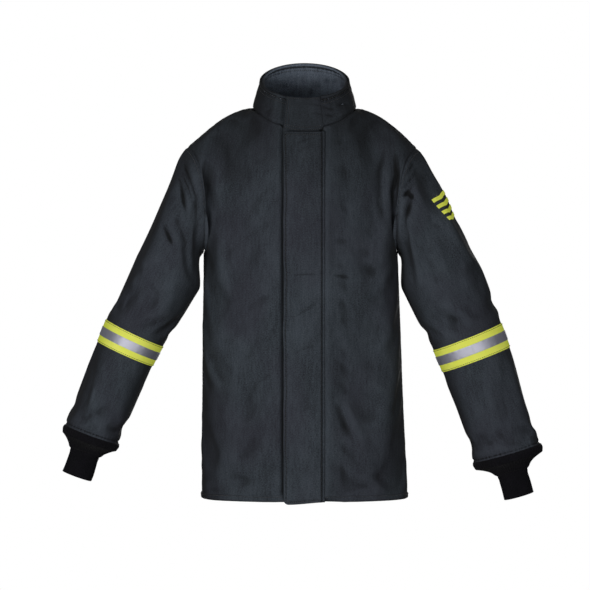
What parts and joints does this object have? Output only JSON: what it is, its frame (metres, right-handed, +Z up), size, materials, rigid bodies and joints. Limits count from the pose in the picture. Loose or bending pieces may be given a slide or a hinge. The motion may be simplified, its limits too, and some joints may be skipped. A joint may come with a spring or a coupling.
{
  "type": "turnout coat",
  "caption": "Padded protective coat with a zipped front under a storm flap, a stand collar with a closing tab, reflective sleeve bands and knitted cuffs.",
  "frame": {"origin": "middle of the hanger loop's bearing face, inside the back of the neck, where a hook carries the coat", "axes": "+Z up, -Y to the coat's front, +X to the wearer's left"},
  "size_m": [0.9754, 0.2894, 0.8958],
  "materials": {
    "shell_fabric": "matt woven twill, dark navy",
    "lining_fabric": "quilted woven lining, navy",
    "rib_knit": "rib knit, black",
    "high_visibility_tape": "fluorescent lime yellow woven tape",
    "reflective_tape": "silver retroreflective film on cloth",
    "webbing": "woven tape, near black",
    "zip_brass": "satin"
  },
  "bodies": {
    "coat_body": {"back_shell": "shell_fabric", "back_liner": "lining_fabric", "back_hem_band": "shell_fabric", "collar_back": "shell_fabric", "collar_back_lining": "lining_fabric", "hanger_loop": "webbing", "left_side_front_shell": "shell_fabric", "left_side_front_liner": "lining_fabric", "right_side_front_shell": "shell_fabric", "right_side_front_liner": "lining_fabric", "left_sleeve_head": "shell_fabric", "right_sleeve_head": "shell_fabric"},
    "left_front": {"left_front_shell": "shell_fabric", "left_front_liner": "lining_fabric", "left_front_hem_band": "shell_fabric", "left_collar_end": "shell_fabric", "left_collar_end_lining": "lining_fabric", "left_zip_tape": "webbing", "left_zip_teeth": "zip_brass", "zip_retainer_box": "zip_brass", "zip_top_stop": "zip_brass"},
    "right_front": {"right_front_shell": "shell_fabric", "right_front_liner": "lining_fabric", "right_front_hem_band": "shell_fabric", "right_collar_end": "shell_fabric", "right_collar_end_lining": "lining_fabric", "right_zip_tape": "webbing", "right_zip_teeth": "zip_brass", "zip_insertion_pin": "zip_brass", "front_hook_strip": "webbing", "collar_hook_patch": "webbing"},
    "storm_flap": {"storm_flap_panel": "shell_fabric", "storm_flap_facing": "lining_fabric", "flap_loop_strip": "webbing"},
    "collar_tab": {"collar_tab": "shell_fabric", "collar_tab_loop_patch": "webbing"},
    "zip_slider": {"zip_slider": "zip_brass"},
    "zip_pull": {"zip_pull": "zip_brass"},
    "left_upper_sleeve": {"left_upper_sleeve_shell": "shell_fabric", "left_upper_sleeve_liner": "lining_fabric", "left_elbow": "shell_fabric", "sleeve_emblem": "high_visibility_tape"},
    "left_forearm": {"left_forearm_shell": "shell_fabric", "left_forearm_liner": "lining_fabric", "left_sleeve_band": "high_visibility_tape", "left_band_stripe": "reflective_tape", "left_cuff": "rib_knit"},
    "right_upper_sleeve": {"right_upper_sleeve_shell": "shell_fabric", "right_upper_sleeve_liner": "lining_fabric", "right_elbow": "shell_fabric"},
    "right_forearm": {"right_forearm_shell": "shell_fabric", "right_forearm_liner": "lining_fabric", "right_sleeve_band": "high_visibility_tape", "right_band_stripe": "reflective_tape", "right_cuff": "rib_knit"}
  },
  "joints": [
    {"name": "left_front_open", "type": "hinge", "parent": "coat_body", "child": "left_front", "pos_m": [0.175, -0.158, -0.804], "axis": [-0.0625, 0.0625, 0.9961], "range_deg": [0, 60], "deforming": ["left_side_front_shell", "left_side_front_liner"]},
    {"name": "right_front_open", "type": "hinge", "parent": "coat_body", "child": "right_front", "pos_m": [-0.175, -0.158, -0.804], "axis": [0.0625, 0.0625, 0.9961], "range_deg": [-60, 0], "deforming": ["right_side_front_shell", "right_side_front_liner"]},
    {"name": "storm_flap_open", "type": "hinge", "parent": "left_front", "child": "storm_flap", "pos_m": [0.037, -0.21649, -0.80354], "axis": [0, 0.0398, 0.9992], "range_deg": [0, 150]},
    {"name": "collar_tab_open", "type": "hinge", "parent": "left_front", "child": "collar_tab", "pos_m": [0.03747, -0.17115, -0.0447], "axis": [-0.0814, 0.1586, 0.984], "range_deg": [0, 140]},
    {"name": "zip_slide", "type": "slide", "parent": "left_front", "child": "zip_slider", "axis": [0, 0.0398, 0.9992], "range_m": [-0.637, 0]},
    {"name": "zip_pull_lift", "type": "hinge", "parent": "zip_slider", "child": "zip_pull", "pos_m": [-0.004, -0.17963, -0.08079], "axis": [-1, 0, 0], "range_deg": [0, 75]},
    {"name": "left_shoulder_raise", "type": "hinge", "parent": "coat_body", "child": "left_upper_sleeve", "pos_m": [0.205, -0.063, -0.164], "axis": [0, -1, 0], "range_deg": [0, 60], "deforming": ["left_sleeve_head"]},
    {"name": "left_elbow_bend", "type": "hinge", "parent": "left_upper_sleeve", "child": "left_forearm", "pos_m": [0.305, -0.0705, -0.4061], "axis": [-0.917, 0, -0.399], "range_deg": [0, 75], "deforming": ["left_elbow"]},
    {"name": "right_shoulder_raise", "type": "hinge", "parent": "coat_body", "child": "right_upper_sleeve", "pos_m": [-0.205, -0.063, -0.164], "axis": [0, 1, 0], "range_deg": [0, 60], "deforming": ["right_sleeve_head"]},
    {"name": "right_elbow_bend", "type": "hinge", "parent": "right_upper_sleeve", "child": "right_forearm", "pos_m": [-0.3166, -0.0705, -0.4035], "axis": [-0.8904, 0, 0.4552], "range_deg": [0, 75], "deforming": ["right_elbow"]}
  ],
  "couplings": [
    {"joint": "right_front_open", "follows": "left_front_open", "ratio": -1},
    {"joint": "zip_pull_lift", "follows": "storm_flap_open", "ratio": 0.5}
  ]
}
